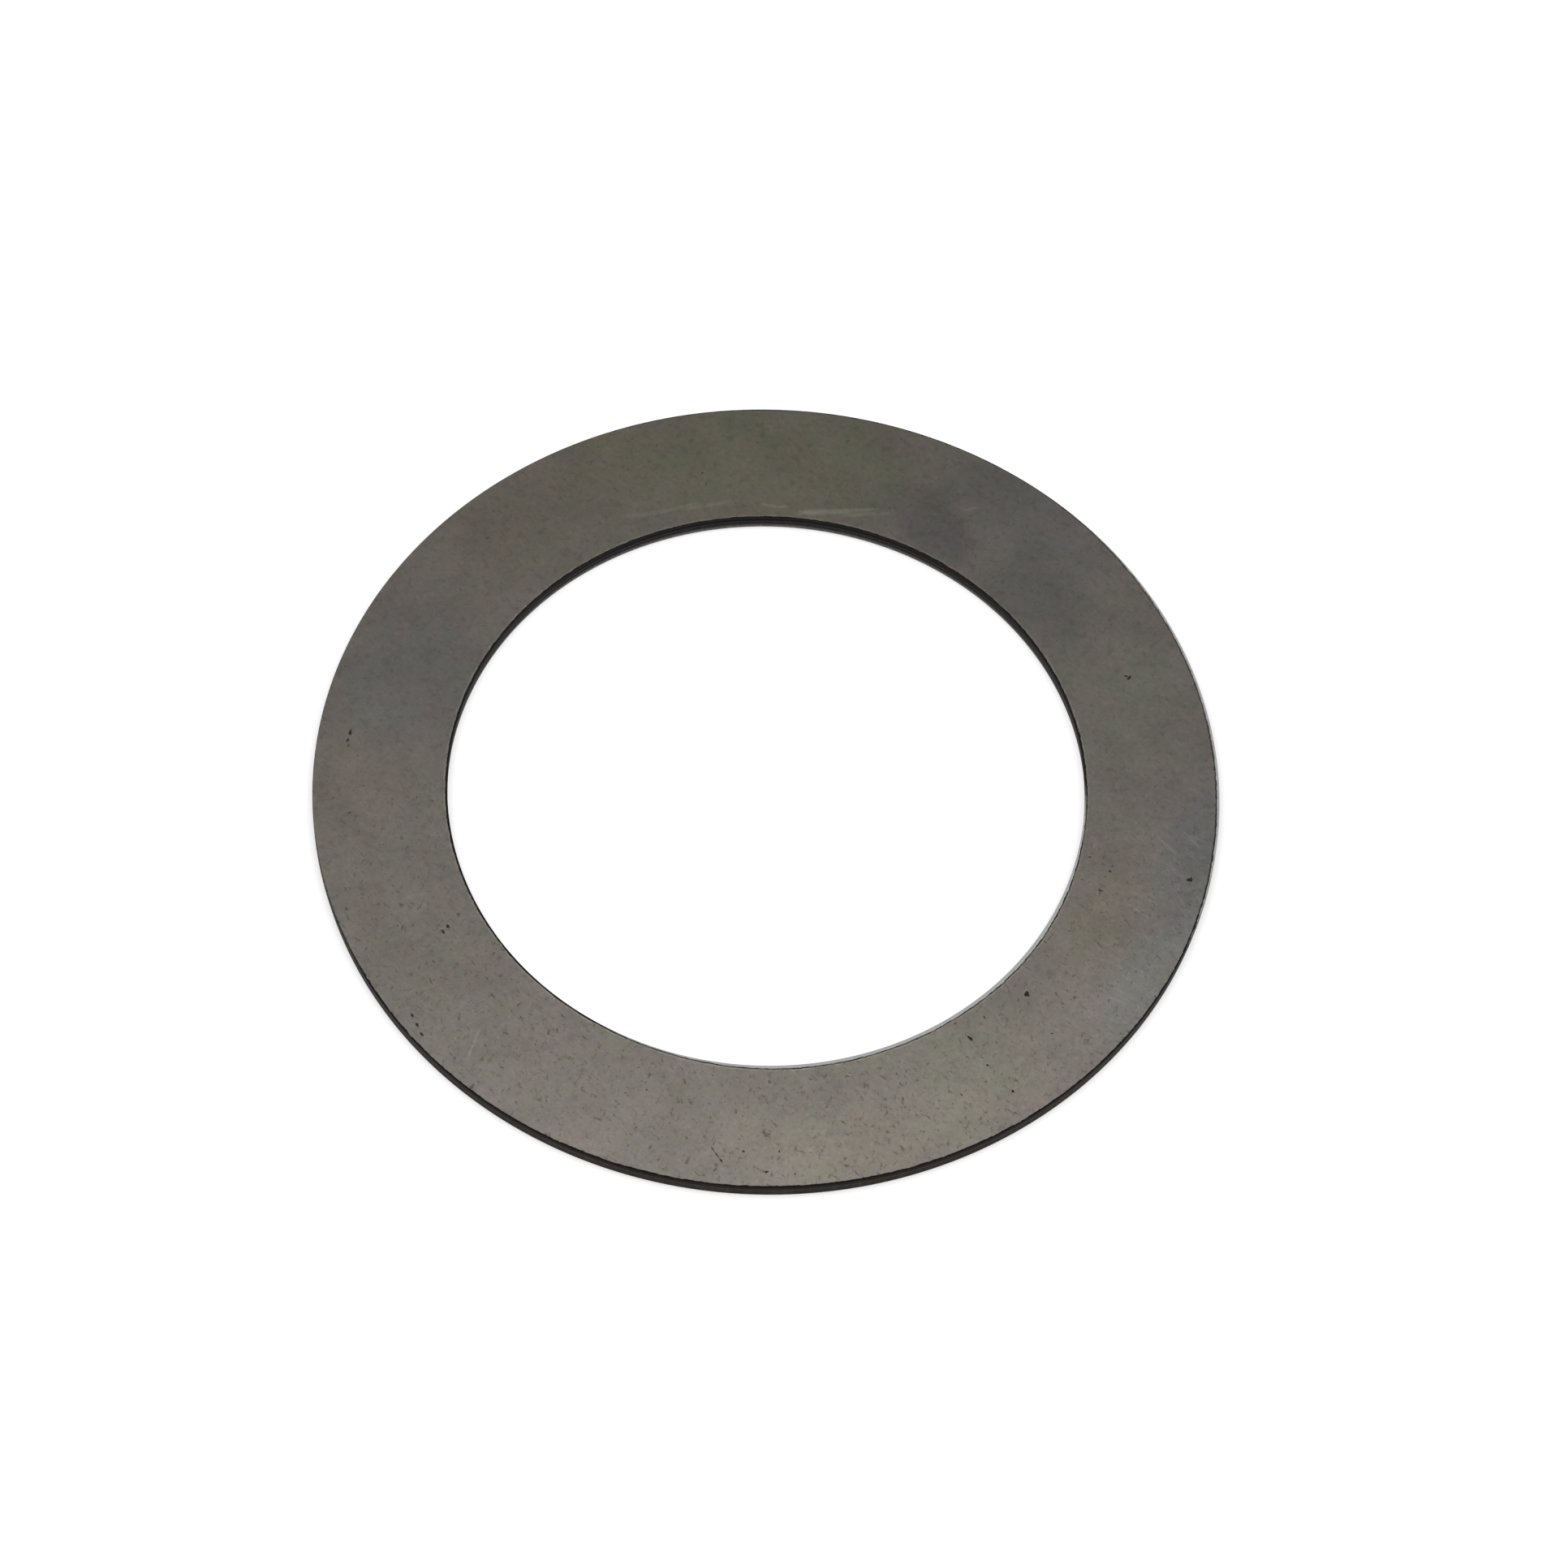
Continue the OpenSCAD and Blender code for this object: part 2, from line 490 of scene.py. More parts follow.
def drawn_line_group():
    """One long fine scratch from a start to an end, fading at both ends."""
    sockets = [("Place", "Vector"), ("Start", "Vector"), ("End", "Vector"), ("Width", "Float")]
    tree, given, result = new_group("drawn_line", sockets, [("Mask", "Float")])
    away = move(tree, "SUBTRACT", flattened(tree, given["Place"]), given["Start"])
    whole = move(tree, "SUBTRACT", given["End"], given["Start"])
    square = move(tree, "DOT_PRODUCT", whole, whole)
    share = calc(tree, "DIVIDE", move(tree, "DOT_PRODUCT", away, whole), square)
    nearest = scaled(tree, whole, node(tree, "Clamp", {"Value": share}).outputs[0])
    off_line = move(tree, "LENGTH", move(tree, "SUBTRACT", away, nearest))
    line = rise(tree, calc(tree, "DIVIDE", off_line, given["Width"]), 0.6, 0.1)
    ends = rise(tree, calc(tree, "ABSOLUTE", calc(tree, "SUBTRACT", share, 0.5)), 0.5, 0.3)
    tree.links.new(calc(tree, "MULTIPLY", line, ends), result["Mask"])


def one_side_group():
    """The side of the ring that looks a given way from its axis, in degrees."""
    sockets = [("Place", "Vector"), ("Towards", "Float"), ("Reach", "Float"), ("Fade", "Float")]
    tree, given, result = new_group("one_side", sockets, [("Mask", "Float")])
    x, y, _ = node(tree, "SeparateXYZ", {0: given["Place"]}).outputs
    angle = calc(tree, "DEGREES", calc(tree, "ARCTAN2", y, x))
    away = calc(tree, "WRAP", calc(tree, "SUBTRACT", angle, given["Towards"]), 180, -180)
    away = calc(tree, "SUBTRACT", calc(tree, "ABSOLUTE", away), given["Reach"])
    tree.links.new(rise(tree, away, given["Fade"], 0), result["Mask"])


# The finish of the faces

# The strip's own colour, and a painted highlight on the rolled edges, on the side of each edge where the
# light catches it
STRIP_COLOUR = (0.2965, 0.2735, 0.2455, 1)
ROLL_HIGHLIGHT_COLOUR = (0.43, 0.44, 0.425, 1)

# Tones that are multiplied onto the strip's colour
FLECK_TONE = (0.40, 0.39, 0.36, 1)
SCRATCH_TONE = (1.55, 1.57, 1.60, 1)
GRIME_TONE = (0.10, 0.08, 0.06, 1)
# Painted shade on the rolls, dark on most of each roll and pale on one side of the rim
ROLL_SHADE_TONE = (0.055, 0.053, 0.050, 1)
PALE_ROLL_SHADE_TONE = (0.42, 0.42, 0.42, 1)
# Painted dark shade line at the crease where a roll starts
CREASE_SHADE_TONE = (0.03, 0.03, 0.03, 1)
BORE_LIP_TONE = (1.35, 1.36, 1.38, 1)

# How high the drawn grain stands where flecks begin, how much further up they are dark in full, and how
# strong the dots between them are
FLECK_LEVEL_FAR = 0.65
FLECK_LEVEL_NEAR = 0.585
FLECK_EDGE = 0.15
DOTS_FAR = 0.4
DOTS_NEAR = 0.65

# How bright the hair scratches and the curls are
HAIRS_ELSEWHERE = 0.12
HAIRS_RUBBED = 0.60
CURLS_BRIGHT = 0.25

# The painted dark shade line along the crease: half its width in mm where thin and thick, how much wider
# it is at the rim, and how strong on the rim's far half
CREASE_THIN = 0.024
CREASE_THICK = 0.040
CREASE_AT_RIM = 1.55
CREASE_FAR_RIM = 0.85

# How rough the satin is, what mottling, flecks, grime and the painted shade and highlight on the rolls
# add, and how much a place shines where the metal is dulled
SATIN = 0.25
SATIN_MOTTLING = 0.10
SATIN_FLECK = 0.12
SATIN_GRIME_AND_SHADING = 0.35
FACE_SPECULAR = 0.1

# Relief in mm
GRAIN_RELIEF = 0.0012
MOTTLING_RELIEF = 0.0025
SCRATCH_RELIEF = -0.0005

# What is added to a patch's distance on the lower face, where none shows
OUT_OF_SIGHT = 9

# Small strokes, one in each cell, in mm and radians
DOTS = {
    "cell": 0.9, "length": 0.24, "width": 0.11, "lean": -0.75, "spread": 1.5, "share": 0.62, "bow": 0,
}
HAIRS = {
    "cell": 0.62, "length": 0.8, "width": 0.045, "lean": -0.62, "spread": 0.4, "share": 0.8, "bow": 0.08,
}
LONG_HAIRS = {
    "cell": 1.3, "length": 1.4, "width": 0.05, "lean": -0.65, "spread": 0.5, "share": 0.6, "bow": 0.10,
}
CURLS = {
    "cell": 1.7, "length": 1.3, "width": 0.05, "lean": -0.5, "spread": 1.6, "share": 0.6, "bow": 0.35,
}

# Where the hair scratches lie thickest
RUBBED_SIDE = {"centre": (17.2, -5.5, 0), "reach": (3.6, 7, 1), "turn": -0.25}

# Clouds of colour on the upper face, in mm and degrees: x, y, reach along, reach across, turn, and tone
CLOUDS = [
    (-1.0, 17.0, 10.0, 4.2, 0, (0.96, 0.99, 0.86, 1)),
    (-10.5, 14.0, 6.0, 4.0, 40, (0.98, 0.98, 0.91, 1)),
    (6.9, 13.9, 2.8, 2.0, -30, (0.78, 0.80, 0.85, 1)),
    (11.0, 10.4, 3.6, 2.4, -45, (0.86, 0.89, 0.90, 1)),
    (11.5, 15.0, 5.0, 3.2, -40, (0.88, 0.91, 0.96, 1)),
    (7.2, 16.8, 3.4, 2.6, -25, (0.95, 0.95, 0.95, 1)),
    (-16.0, 4.8, 4.2, 3.2, 60, (0.92, 0.96, 1.00, 1)),
    (-18.6, 4.6, 3.0, 1.6, 75, (0.95, 0.95, 0.95, 1)),
    (-17.9, -1.0, 2.6, 3.4, 0, (1.02, 0.99, 0.97, 1)),
    (16.0, 5.4, 3.4, 4.2, 0, (0.96, 1.00, 0.97, 1)),
    (18.6, -3.4, 1.6, 5.2, -10, (0.90, 0.96, 1.03, 1)),
    (16.9, -9.0, 1.9, 4.2, -30, (1.02, 1.08, 1.12, 1)),
    (14.8, -6.0, 2.0, 3.6, -15, (1.04, 1.01, 0.96, 1)),
    (9.6, -13.4, 4.6, 3.2, 40, (1.03, 1.07, 1.02, 1)),
    (14.2, -11.6, 3.4, 1.8, -128, (1.05, 1.05, 1.05, 1)),
    (3.0, -17.8, 6.0, 2.4, 8, (1.06, 1.06, 1.02, 1)),
    (9.2, -16.6, 5.0, 1.5, 29, (1.05, 1.045, 1.03, 1)),
    (-7.0, -16.6, 4.6, 2.6, -24, (0.99, 0.98, 0.98, 1)),
    (-14.0, -9.5, 4.0, 3.0, -40, (0.97, 0.97, 0.96, 1)),
]

# Long fine scratches on the upper face, in mm: start x and y, end x and y, width, and how bright
LINES = [
    (-7.2, 13.75, -4.9, 14.2, 0.30, 0.35),
    (-5.9, 13.9, -3.4, 14.75, 0.24, 0.40),
    (-4.6, 14.25, -1.9, 14.9, 0.30, 0.35),
    (-0.8, 14.80, 0.1, 14.62, 0.16, 0.50),
    (-0.2, 14.60, 0.6, 14.72, 0.14, 0.45),
    (0.6, 14.34, 3.6, 14.60, 0.36, 0.75),
    (1.6, 14.45, 4.8, 14.74, 0.20, 0.60),
    (2.6, 14.30, 5.5, 14.6, 0.30, 0.40),
    (8.35, 14.82, 9.05, 15.05, 0.14, 0.45),
    (7.0, 14.52, 7.2, 14.60, 0.14, 0.45),
    (-11.9, -12.7, -12.4, -14.4, 0.14, 0.45),
    (12.3, -15.2, 13.2, -16.4, 0.14, 0.40),
    (17.2, -1.9, 18.2, -2.9, 0.12, 0.40),
    (18.3, -1.5, 19.2, -2.5, 0.12, 0.35),
    (16.0, -5.4, 17.0, -6.1, 0.12, 0.35),
    (16.6, -4.9, 17.4, -5.5, 0.12, 0.35),
]


def face_patterns(tree, place):
    """The patterns that more than one part of the face's finish reads, by their names."""
    _, y, height = node(tree, "SeparateXYZ", {0: place}).outputs
    shifted = move(tree, "ADD", place, (31, 17, 5))
    lower_face = rise(tree, height, 0.5, 0.3)
    # Patches have uneven edges on the upper face, and are pushed out of sight on the lower one.
    ragged = between(tree, noise(tree, place, 0.55, 4, 0.6), -0.45, 0.45)
    return {
        "shifted": shifted,
        "lower_face": lower_face,
        "near_half": rise(tree, y, 8, -9),
        "ragged": calc(tree, "MULTIPLY_ADD", lower_face, OUT_OF_SIGHT, ragged),
        "broad": noise(tree, place, 0.4, 5, 0.62),
        "blotch": noise(tree, shifted, 0.95, 4, 0.6),
        "small": noise(tree, shifted, 2.9, 3, 0.62),
        "grain": noise(tree, place, 5.5, 3, 0.6),
        "leaning": use(tree, "rubbed_grain", place=place, turn=-0.75, drawn=(2.7, 5.8, 1)),
        "crossing": use(tree, "rubbed_grain", place=shifted, turn=-1.9, drawn=(2.9, 5.4, 1)),
        "strokes": use(tree, "rubbed_grain", place=shifted, turn=-0.8, drawn=(2.6, 8, 1)),
    }


def clouds_and_mottling(tree, place, seen, colour):
    """Soft clouds of brown, green and grey, and the mottling between them."""
    for x, y, along, across, turn, tone in CLOUDS:
        mask = use(
            tree, "soft_patch", place=place, centre=(x, y, 0), reach=(along, across, 1),
            turn=math.radians(turn), ragged=seen["ragged"],
        )
        colour = tint(tree, colour, tone, mask)
    for pattern, none, full, tone in (
        ("broad", 0.60, 0.36, (0.97, 0.97, 0.98, 1)),
        ("blotch", 0.46, 0.64, (1.035, 0.985, 0.975, 1)),
        ("blotch", 0.54, 0.36, (0.97, 1.00, 0.94, 1)),
        ("small", 0.48, 0.74, (0.83, 0.83, 0.84, 1)),
    ):
        colour = tint(tree, colour, tone, rise(tree, seen[pattern], none, full))
    grain_weight = between(tree, seen["near_half"], 0.7, 1.1)
    light_grain = calc(tree, "MULTIPLY", rise(tree, seen["grain"], 0.42, 0.76), grain_weight)
    return tint(tree, colour, (1.16, 1.16, 1.15, 1), light_grain)


def flecks(tree, place, seen):
    """The mask of the dark flecks, thick on the near half and thin on the far half."""
    level = between(tree, seen["near_half"], FLECK_LEVEL_FAR, FLECK_LEVEL_NEAR)
    full = calc(tree, "ADD", level, FLECK_EDGE)
    leaning = rise(tree, seen["leaning"], level, full)
    crossing = rise(tree, seen["crossing"], level, full)
    dots = use(tree, "short_marks", place=place, **DOTS)
    dots = calc(tree, "MULTIPLY", dots, between(tree, seen["near_half"], DOTS_FAR, DOTS_NEAR))
    return calc(tree, "MAXIMUM", calc(tree, "MAXIMUM", leaning, crossing), dots)


def rubbing(tree, seen, colour):
    """Faint light and dark, blue and yellow strokes between the flecks."""
    for pattern, none, full, tone in (
        ("strokes", 0.50, 0.70, (1.05, 1.05, 1.06, 1)),
        ("strokes", 0.50, 0.30, (0.96, 0.96, 0.96, 1)),
        ("leaning", 0.42, 0.58, (0.99, 0.99, 1.03, 1)),
        ("crossing", 0.42, 0.58, (1.01, 1.00, 0.97, 1)),
    ):
        colour = tint(tree, colour, tone, rise(tree, seen[pattern], none, full))
    return colour


def scratches(tree, place, seen):
    """The mask of the bright scratches: hairs and curls everywhere, and the long ones one by one."""
    rubbed = use(tree, "soft_patch", place=place, ragged=seen["ragged"], **RUBBED_SIDE)
    hair_weight = between(tree, rubbed, HAIRS_ELSEWHERE, HAIRS_RUBBED)
    hairs = use(tree, "short_marks", place=seen["shifted"], **HAIRS)
    long_hairs = use(tree, "short_marks", place=place, **LONG_HAIRS)
    curls = use(tree, "short_marks", place=seen["shifted"], **CURLS)
    scratch = calc(tree, "MULTIPLY", hairs, hair_weight)
    scratch = calc(tree, "MAXIMUM", scratch, calc(tree, "MULTIPLY", long_hairs, hair_weight))
    scratch = calc(tree, "MAXIMUM", scratch, calc(tree, "MULTIPLY", curls, CURLS_BRIGHT))
    for start_x, start_y, end_x, end_y, width, strength in LINES:
        start, end = (start_x, start_y, 0), (end_x, end_y, 0)
        drawn = use(tree, "drawn_line", place=place, start=start, end=end, width=width)
        drawn = calc(tree, "MULTIPLY", drawn, strength)
        drawn = calc(tree, "SUBTRACT", drawn, seen["lower_face"])
        scratch = calc(tree, "MAXIMUM", scratch, drawn)
    return scratch


def grime_in_pits(tree, seen):
    """The mask of the grime, which follows the pits with a ragged edge."""
    noted = node(tree, "Attribute", attribute_name="grime").outputs["Fac"]
    held = sway(tree, noted, seen["grain"], 1.2)
    held = sway(tree, held, seen["crossing"], 1.6)
    return calc(tree, "MULTIPLY", rise(tree, held, 0.85, 1.25), rise(tree, noted, 0.3, 0.6))


def rolled_edges(tree, place, seen, colour):
    """The rolled edges: a painted highlight on the side where they are wide, painted dark shade
    elsewhere, and a thin painted dark shade line at the crease where they start. Returns the colour and
    the mask of these painted marks, where the metal is made duller and rougher."""
    at_rim = calc(tree, "GREATER_THAN", move(tree, "LENGTH", flattened(tree, place)), MID_R / MM)
    pale_shade = use(
        tree, "one_side", place=place,
        towards=PALE_SHADE_RIM["at"], reach=PALE_SHADE_RIM["reach"], fade=PALE_SHADE_RIM["fade"],
    )
    pale_shade = calc(tree, "MULTIPLY", pale_shade, at_rim)
    at_highlight = {}
    for edge, side in (("bore", BORE_ROLL), ("rim", RIM_ROLL)):
        at_highlight[edge] = use(
            tree, "one_side", place=place, towards=side["at"], reach=side["highlit"], fade=side["fade"],
        )
    feeds = {"Factor": at_rim, 2: at_highlight["bore"], 3: at_highlight["rim"]}
    highlit = node(tree, "Mix", feeds, data_type="FLOAT").outputs[0]

    # The rolls, from an uneven start: painted dark shade on most of each roll, paler on one side of the
    # rim, and a painted highlight on the side that catches the light
    crease = node(tree, "Attribute", attribute_name="crease").outputs["Fac"]
    crease = sway(tree, crease, seen["small"], 0.05)
    crease = sway(tree, crease, seen["grain"], 0.08)
    on_roll = rise(tree, crease, 0.0, 0.02)
    bright = calc(tree, "MULTIPLY", on_roll, highlit)
    roll_shade = calc(tree, "MULTIPLY", on_roll, rest_of(tree, highlit))
    # Painted shade: each roll is darkened except on its highlit side, and less so on one side of the rim
    colour = tint(tree, colour, blend(tree, ROLL_SHADE_TONE, PALE_ROLL_SHADE_TONE, pale_shade), roll_shade)
    # Painted highlight: the roll goes over to a light colour on the side where the light catches it
    colour = blend(tree, colour, ROLL_HIGHLIGHT_COLOUR, bright)

    # A light lip on the face all along the bore, and the painted dark shade line at the crease over it,
    # thicker and thinner by turns
    beads = noise(tree, place, 2.6, 3)
    off_lip = calc(tree, "ABSOLUTE", calc(tree, "ADD", crease, 0.06))
    lip = calc(tree, "MULTIPLY", rise(tree, off_lip, 0.05, 0.01), rise(tree, beads, 0.35, 0.6))
    lip = calc(tree, "MULTIPLY", lip, rest_of(tree, at_rim))
    colour = tint(tree, colour, BORE_LIP_TONE, lip)
    half_width = between(tree, rise(tree, beads, 0.35, 0.65), CREASE_THIN, CREASE_THICK)
    half_width = calc(tree, "MULTIPLY", half_width, between(tree, at_rim, 1, CREASE_AT_RIM))
    # The painted dark shade line at the crease
    off_line = calc(tree, "ABSOLUTE", calc(tree, "SUBTRACT", crease, 0.01))
    off_line = calc(tree, "DIVIDE", off_line, half_width)
    line = calc(tree, "MULTIPLY", rise(tree, off_line, 1.1, 0.5), rest_of(tree, pale_shade))
    far_rim = calc(tree, "MULTIPLY", at_rim, rest_of(tree, seen["near_half"]))
    line = calc(tree, "MULTIPLY", line, between(tree, far_rim, 1, CREASE_FAR_RIM))
    colour = tint(tree, colour, CREASE_SHADE_TONE, line)
    # The painted shade and highlight of the rolls also make the metal duller and rougher
    grime_and_roll_shading = calc(tree, "MAXIMUM", calc(tree, "MAXIMUM", line, roll_shade), calc(tree, "MULTIPLY", bright, 0.9))
    return colour, grime_and_roll_shading


def tumbled_face():
    """Satin strip steel, dulled by tumbling, with clouds, flecks and scratches, and rolled edges with
    painted shade, a painted dark crease line and a painted highlight.
    """
    material, tree, shader, place = new_finish("tumbled_face")
    seen = face_patterns(tree, place)
    fleck = flecks(tree, place, seen)
    scratch = scratches(tree, place, seen)
    grime = grime_in_pits(tree, seen)
    colour = clouds_and_mottling(tree, place, seen, STRIP_COLOUR)
    colour = tint(tree, colour, FLECK_TONE, fleck)
    colour = rubbing(tree, seen, colour)
    colour = tint(tree, colour, SCRATCH_TONE, scratch)
    colour = tint(tree, colour, GRIME_TONE, grime)
    colour, grime_and_roll_shading = rolled_edges(tree, place, seen, colour)
    tree.links.new(colour, shader.inputs["Base Color"])

    grime_and_roll_shading = calc(tree, "MAXIMUM", grime, grime_and_roll_shading)
    tree.links.new(rise(tree, grime_and_roll_shading, 1.2, 0.2), shader.inputs["Metallic"])
    satin = calc(tree, "MULTIPLY_ADD", seen["broad"], SATIN_MOTTLING, SATIN)
    satin = calc(tree, "MULTIPLY_ADD", fleck, SATIN_FLECK, satin)
    satin = calc(tree, "MULTIPLY_ADD", grime_and_roll_shading, SATIN_GRIME_AND_SHADING, satin)
    tree.links.new(satin, shader.inputs["Roughness"])
    relief = calc(tree, "MULTIPLY", seen["grain"], GRAIN_RELIEF)
    relief = calc(tree, "MULTIPLY_ADD", seen["small"], MOTTLING_RELIEF, relief)
    relief = calc(tree, "MULTIPLY_ADD", scratch, SCRATCH_RELIEF, relief)
    add_relief(tree, shader, relief)
    shader.inputs["Specular IOR Level"].default_value = FACE_SPECULAR
    return material


# The finish of the walls

WALL_COLOUR = (0.040, 0.032, 0.027, 1)

# Tones that are multiplied onto the wall's colour
BORE_WALL_TONE = (0.36, 0.42, 0.48, 1)
STREAK_TONE = (1.5, 1.45, 1.4, 1)
TORN_TONE = (0.7, 0.7, 0.7, 1)
# Painted light on the foot of the bore wall
BORE_FOOT_LIGHT_TONE = (13, 13.2, 13.6, 1)
# Painted glint line on the bore wall's land
BORE_GLINT_TONE = (3, 3, 3, 1)
# Painted shade along the top of the wall
WALL_TOP_SHADE_TONE = (0.25, 0.25, 0.25, 1)

# Heights on the wall in mm: where the painted light on the bore's foot fades, where the painted glint
# line lies and where the painted shade along the top starts
FOOT_FROM = 0.44
FOOT_FULL = 0.04
BORE_GLINT_AT = 0.54
TOP_FROM = 0.56
TOP_FULL = 0.66

# How rough the land and the torn slope are, their relief in mm, and how much they shine
LAND_ROUGH = 0.5
TORN_ROUGH = 0.68
STREAK_RELIEF = 0.004
TORN_RELIEF = 0.02
WALL_SPECULAR = 0.03


def cut_wall():
    """The dark wall that blanking left: a smooth sheared land above a rough torn slope, with painted
    shade along its top, and on the bore a painted glint line and painted light on the foot.
    """
    material, tree, shader, place = new_finish("cut_wall")
    height = node(tree, "SeparateXYZ", {0: place}).outputs[2]
    streaks = noise(tree, move(tree, "MULTIPLY", place, (5, 5, 0.7)), 1, 4, 0.6)
    crumbs = noise(tree, place, 7, 4, 0.65)
    uneven = sway(tree, height, streaks, 0.16)
    torn = rise(tree, uneven, LAND_FOOT / MM + 0.03, LAND_FOOT / MM - 0.03)
    at_bore = calc(tree, "LESS_THAN", move(tree, "LENGTH", flattened(tree, place)), MID_R / MM)

    colour = tint(tree, WALL_COLOUR, BORE_WALL_TONE, at_bore)
    colour = tint(tree, colour, STREAK_TONE, rise(tree, streaks, 0.45, 0.7))
    colour = tint(tree, colour, TORN_TONE, calc(tree, "MULTIPLY", torn, rise(tree, crumbs, 0.55, 0.35)))
    # Painted light on the foot of the bore wall, fading upwards
    lit_foot = calc(tree, "MULTIPLY", rise(tree, uneven, FOOT_FROM, FOOT_FULL), at_bore)
    colour = tint(tree, colour, BORE_FOOT_LIGHT_TONE, lit_foot)
    # A painted glint line across the bore wall's land
    off_line = calc(tree, "ABSOLUTE", calc(tree, "SUBTRACT", uneven, BORE_GLINT_AT))
    at_glint = calc(tree, "MULTIPLY", rise(tree, off_line, 0.05, 0.01), at_bore)
    colour = tint(tree, colour, BORE_GLINT_TONE, at_glint)
    # Painted shade along the top of the wall, under the crease
    shaded_top = rise(tree, calc(tree, "MULTIPLY_ADD", streaks, 0.06, height), TOP_FROM, TOP_FULL)
    colour = tint(tree, colour, WALL_TOP_SHADE_TONE, shaded_top)
    tree.links.new(colour, shader.inputs["Base Color"])

    shader.inputs["Metallic"].default_value = 0
    shader.inputs["Specular IOR Level"].default_value = WALL_SPECULAR
    tree.links.new(between(tree, torn, LAND_ROUGH, TORN_ROUGH), shader.inputs["Roughness"])
    relief = calc(tree, "MULTIPLY", streaks, STREAK_RELIEF)
    relief = calc(tree, "MULTIPLY_ADD", calc(tree, "MULTIPLY", crumbs, torn), TORN_RELIEF, relief)
    add_relief(tree, shader, relief)
    return material


# Stage, light and camera, in metres and degrees

# The floor: how far it is flat, the height of its curved edge, and its gap below the ring
FLOOR_R = 0.9
FLOOR_RISE = 0.3
FLOOR_SINK = 0.02 * MM
FLOOR_COLOUR = (0.8, 0.8, 0.8, 1)
# How finely the floor is divided
FLOOR_ROWS = 4
CURVE_STEPS = 12
BACKDROP_ROWS = 2
FLOOR_ROUND_STEPS = 64
# How much the floor is lifted to white near the ring and far off, and where that changes
LIFT_NEAR = 0.4
LIFT_FAR = 1.0
LIFT_FROM = 0.05
LIFT_TO = 0.35
# The white even light all round, and the lamp with its size and place
WHITE = (1, 1, 1, 1)
WORLD_LEVEL = 0.25
LAMP_LEVEL = 2.5
LAMP_WIDTH = 0.35
LAMP_DEPTH = 0.30
LAMP_HEIGHT = 0.28
LAMP_BACK_EDGE = 0.088
# The camera, with its lens and sensor in mm, and the place that it looks at
CAMERA_LENS = 155.97
CAMERA_SENSOR = 36
CAMERA_DISTANCE = 0.300
CAMERA_ELEVATION = 58.965
CAMERA_ROLL = 2.16
CAMERA_NEAR = 0.01
CAMERA_FAR = 10
AIM = Vector((0.77, 0.56, 0)) * MM


def pale_paint():
    """Pale matt paint. The camera and the steel's gloss see it lifted to white, with its shadows kept."""
    material = bpy.data.materials.new("pale_floor")
    material.use_nodes = True
    tree = material.node_tree
    tree.nodes.clear()
    paint = node(tree, "BsdfDiffuse", {"Color": FLOOR_COLOUR}).outputs[0]
    spot = node(tree, "TexCoord").outputs["Object"]
    far_off = rise(tree, move(tree, "LENGTH", spot), LIFT_FROM, LIFT_TO)
    level = between(tree, far_off, LIFT_NEAR, LIFT_FAR)
    lift = node(tree, "Emission", {"Color": WHITE, "Strength": level}).outputs[0]
    lifted = node(tree, "AddShader", {0: paint, 1: lift}).outputs[0]
    ray = node(tree, "LightPath").outputs
    seen = calc(tree, "MAXIMUM", ray["Is Camera Ray"], ray["Is Glossy Ray"])
    seen = calc(tree, "MAXIMUM", seen, ray["Is Transmission Ray"])
    upper = node(tree, "MixShader", {0: seen, 1: paint, 2: lifted}).outputs[0]
    under = node(tree, "BsdfTransparent").outputs[0]
    side = node(tree, "NewGeometry").outputs["Backfacing"]
    whole = node(tree, "MixShader", {0: side, 1: upper, 2: under}).outputs[0]
    node(tree, "OutputMaterial", {"Surface": whole})
    return material


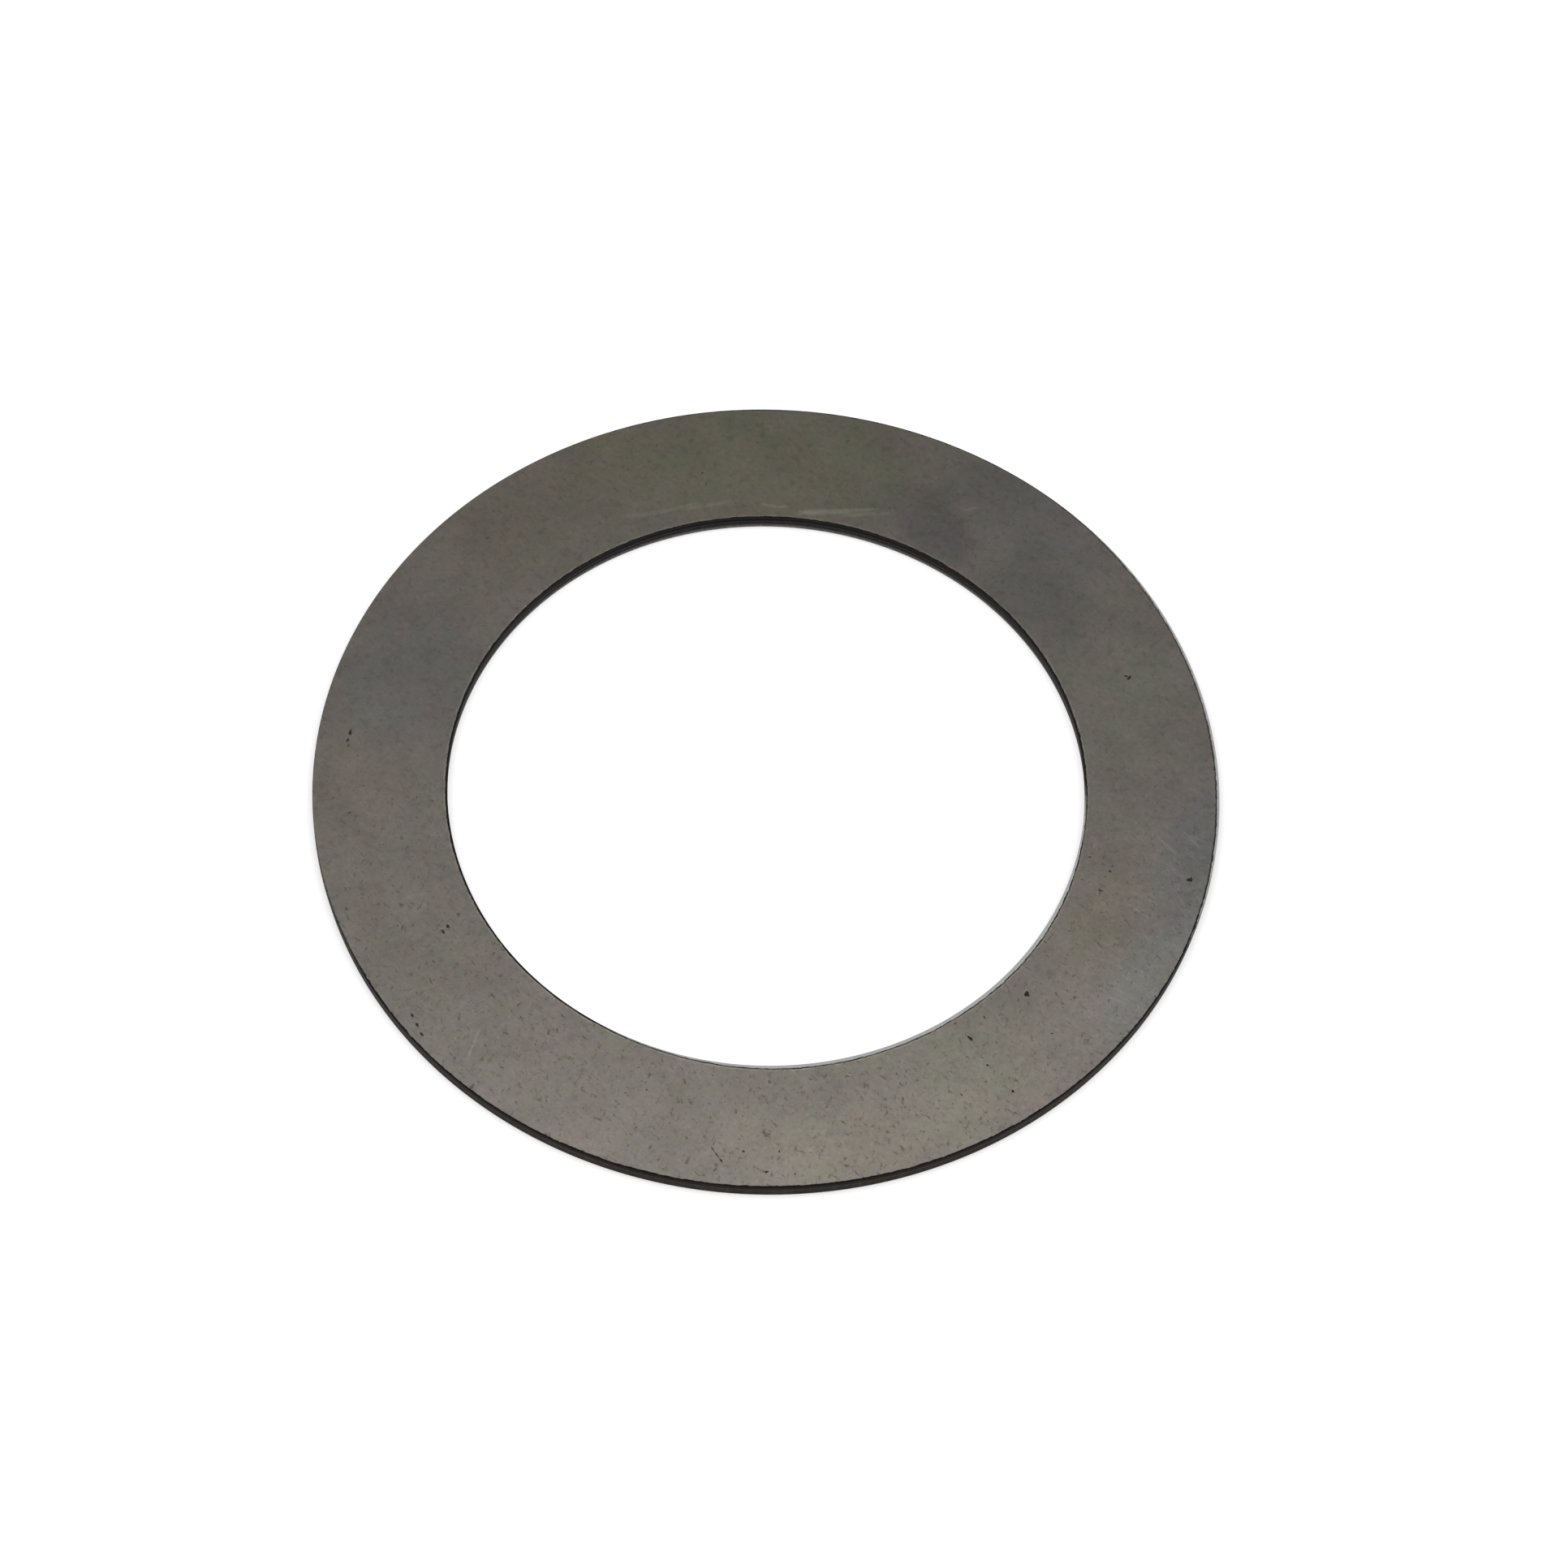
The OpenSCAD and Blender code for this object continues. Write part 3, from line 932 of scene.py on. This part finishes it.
def pale_floor():
    """A pale floor that curves up into its own backdrop all round."""
    bm = bmesh.new()
    straight(bm, (0, 0, 0), (FLOOR_R, 0, 0), FLOOR_ROWS)
    arc(bm, (FLOOR_R, 0, 0), (FLOOR_R, 0, FLOOR_RISE), -math.pi / 2, CURVE_STEPS)
    edge_r = FLOOR_R + FLOOR_RISE
    straight(bm, (edge_r, 0, FLOOR_RISE), (edge_r, 0, 2 * FLOOR_RISE), BACKDROP_ROWS)
    bmesh.ops.remove_doubles(bm, verts=bm.verts, dist=TINY)
    spin_round(bm, FLOOR_ROUND_STEPS)
    bmesh.ops.translate(bm, verts=bm.verts, vec=(0, 0, -FLOOR_SINK))
    bm.normal_update()
    lowest = min(bm.faces, key=lambda face: face.calc_center_median().z)
    if lowest.normal.z < 0:
        bmesh.ops.reverse_faces(bm, faces=bm.faces)
    mesh = bpy.data.meshes.new("pale_floor")
    bm.to_mesh(mesh)
    bm.free()
    mesh.materials.append(pale_paint())
    plate = bpy.data.objects.new("pale_floor", mesh)
    bpy.context.scene.collection.objects.link(plate)


def studio_light():
    """A big soft lamp overhead, in front of what the face mirrors, and even light all round."""
    world = bpy.data.worlds.new("studio_air")
    world.use_nodes = True
    air = world.node_tree.nodes["Background"].inputs
    air["Color"].default_value = WHITE
    air["Strength"].default_value = WORLD_LEVEL
    bpy.context.scene.world = world
    lamp = bpy.data.lights.new("overhead_softbox", "AREA")
    lamp.shape = "RECTANGLE"
    lamp.size = LAMP_WIDTH
    lamp.size_y = LAMP_DEPTH
    lamp.energy = LAMP_LEVEL * LAMP_WIDTH * LAMP_DEPTH * math.pi
    holder = bpy.data.objects.new("overhead_softbox", lamp)
    holder.location = (0, LAMP_BACK_EDGE - LAMP_DEPTH / 2, LAMP_HEIGHT)
    bpy.context.scene.collection.objects.link(holder)


def photo_camera():
    """The camera at the photograph's viewing angle."""
    lens = bpy.data.cameras.new("photo_camera")
    lens.lens = CAMERA_LENS
    lens.sensor_width = CAMERA_SENSOR
    lens.clip_start = CAMERA_NEAR
    lens.clip_end = CAMERA_FAR
    eye = bpy.data.objects.new("photo_camera", lens)
    bpy.context.scene.collection.objects.link(eye)
    bpy.context.scene.camera = eye
    tilt = math.radians(CAMERA_ELEVATION)
    back = Vector((0, -math.cos(tilt), math.sin(tilt)))
    eye.location = AIM + back * CAMERA_DISTANCE
    eye.rotation_mode = "QUATERNION"
    roll = Quaternion((0, 0, 1), math.radians(CAMERA_ROLL))
    eye.rotation_quaternion = (-back).to_track_quat("-Z", "Y") @ roll


soft_patch_group()
short_marks_group()
rubbed_grain_group()
drawn_line_group()
one_side_group()
adjusting_washer()
pale_floor()
studio_light()
photo_camera()
bpy.context.scene.view_settings.view_transform = "Standard"
